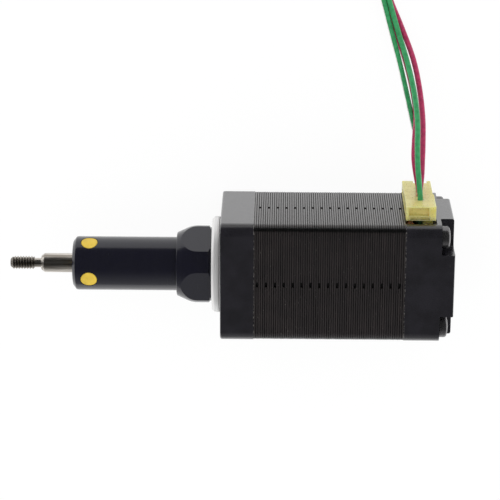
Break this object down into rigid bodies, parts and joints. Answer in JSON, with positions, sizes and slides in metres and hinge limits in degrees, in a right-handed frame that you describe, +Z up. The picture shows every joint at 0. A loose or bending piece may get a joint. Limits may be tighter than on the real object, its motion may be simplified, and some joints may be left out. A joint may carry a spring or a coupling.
{
  "type": "captive linear stepper actuator",
  "caption": "Small square stepper motor whose captive lead screw pushes a guided, threaded rod in a black sleeve; plug and free leads on one side.",
  "frame": {"origin": "middle of the motor body's underside, on the face that it lies on, straight below the shaft's axis", "axes": "-X along the shaft towards the rod's threaded end, +Y out of the plug's face, +Z up off the resting face"},
  "size_m": [0.073, 0.0869, 0.02],
  "materials": {
    "cap_paint": "satin black paint on cast aluminium",
    "machined_aluminium": "bare turned aluminium",
    "black_anodised": "black anodised, turned",
    "bushing_plastic": "moulded bearing plastic",
    "yellow_plastic": "yellow moulded plastic",
    "rod_stainless": "ground stainless steel",
    "screw_stainless": "rolled stainless thread",
    "moulded_plastic": "natural moulded plastic",
    "bearing_steel": "ground bearing steel",
    "rotor_steel": "laminated silicon steel",
    "magnet": "sintered magnet",
    "lamination_steel": "black lacquered laminations",
    "board": "green solder mask",
    "header_plastic": "moulded nylon",
    "nylon": "translucent yellow nylon",
    "green_insulation": "extruded green wire insulation",
    "green_white_insulation": "green wire insulation with a white stripe",
    "red_insulation": "extruded red wire insulation",
    "red_white_insulation": "red wire insulation with a white stripe",
    "tie_plastic": "black nylon strap",
    "screw_steel": "black oxide steel",
    "pin_brass": "tinned brass",
    "tinned_copper": "tinned copper strand",
    "copper": "enamelled copper winding",
    "cage_brass": "brass cage with steel balls"
  },
  "bodies": {
    "motor_body": {"front_cap": "cap_paint", "rear_cap": "cap_paint", "pilot_ring": "machined_aluminium", "sleeve_boss": "black_anodised", "guide_sleeve": "black_anodised", "guide_bushing": "bushing_plastic", "stator_stack": "lamination_steel", "insulator_front": "moulded_plastic", "insulator_rear": "moulded_plastic", "wave_washer": "bearing_steel", "terminal_board": "board", "connector_header": "header_plastic", "plug_housing": "nylon", "lead_green": "green_insulation", "lead_green_white": "green_white_insulation", "lead_red": "red_insulation", "lead_red_white": "red_white_insulation", "lead_coil": "green_insulation", "coil_tie": "tie_plastic", "guide_plug_1": "yellow_plastic", "assembly_screw_1": "screw_steel", "header_pin_1": "pin_brass", "tinned_end_1": "tinned_copper", "guide_plug_2": "yellow_plastic", "assembly_screw_2": "screw_steel", "header_pin_2": "pin_brass", "tinned_end_2": "tinned_copper", "guide_plug_3": "yellow_plastic", "assembly_screw_3": "screw_steel", "header_pin_3": "pin_brass", "tinned_end_3": "tinned_copper", "guide_plug_4": "yellow_plastic", "assembly_screw_4": "screw_steel", "header_pin_4": "pin_brass", "tinned_end_4": "tinned_copper", "stator_coil_1": "copper", "stator_coil_2": "copper", "stator_coil_3": "copper", "stator_coil_4": "copper", "stator_coil_5": "copper", "stator_coil_6": "copper", "stator_coil_7": "copper", "stator_coil_8": "copper", "front_bearing_outer": "bearing_steel", "rear_bearing_outer": "bearing_steel"},
    "rotor": {"rotor_shaft": "bearing_steel", "rotor_nut": "moulded_plastic", "rotor_cup_front": "rotor_steel", "rotor_cup_rear": "rotor_steel", "rotor_magnet": "magnet", "front_bearing_inner": "bearing_steel", "rear_bearing_inner": "bearing_steel"},
    "output_rod": {"output_shaft": "rod_stainless", "lead_screw": "screw_stainless", "anti_rotation_key": "moulded_plastic"},
    "front_cage": {"front_bearing_cage": "cage_brass"},
    "rear_cage": {"rear_bearing_cage": "cage_brass"}
  },
  "joints": [
    {"name": "rotor_spin", "type": "hinge", "parent": "motor_body", "child": "rotor", "pos_m": [0, 0, 0.01], "axis": [-1, 0, 0], "range_deg": [0, 3750]},
    {"name": "rod_travel", "type": "slide", "parent": "motor_body", "child": "output_rod", "axis": [-1, 0, 0], "range_m": [0, 0.0127]},
    {"name": "front_cage_spin", "type": "hinge", "parent": "motor_body", "child": "front_cage", "pos_m": [-0.015, 0, 0.01], "axis": [-1, 0, 0], "range_deg": [0, 1715.4]},
    {"name": "rear_cage_spin", "type": "hinge", "parent": "motor_body", "child": "rear_cage", "pos_m": [0.0136, 0, 0.01], "axis": [-1, 0, 0], "range_deg": [0, 1715.4]}
  ],
  "couplings": [
    {"joint": "rod_travel", "follows": "rotor_spin", "m_per_rad": 0.00019404},
    {"joint": "front_cage_spin", "follows": "rotor_spin", "ratio": 0.4573},
    {"joint": "rear_cage_spin", "follows": "rotor_spin", "ratio": 0.4573}
  ]
}
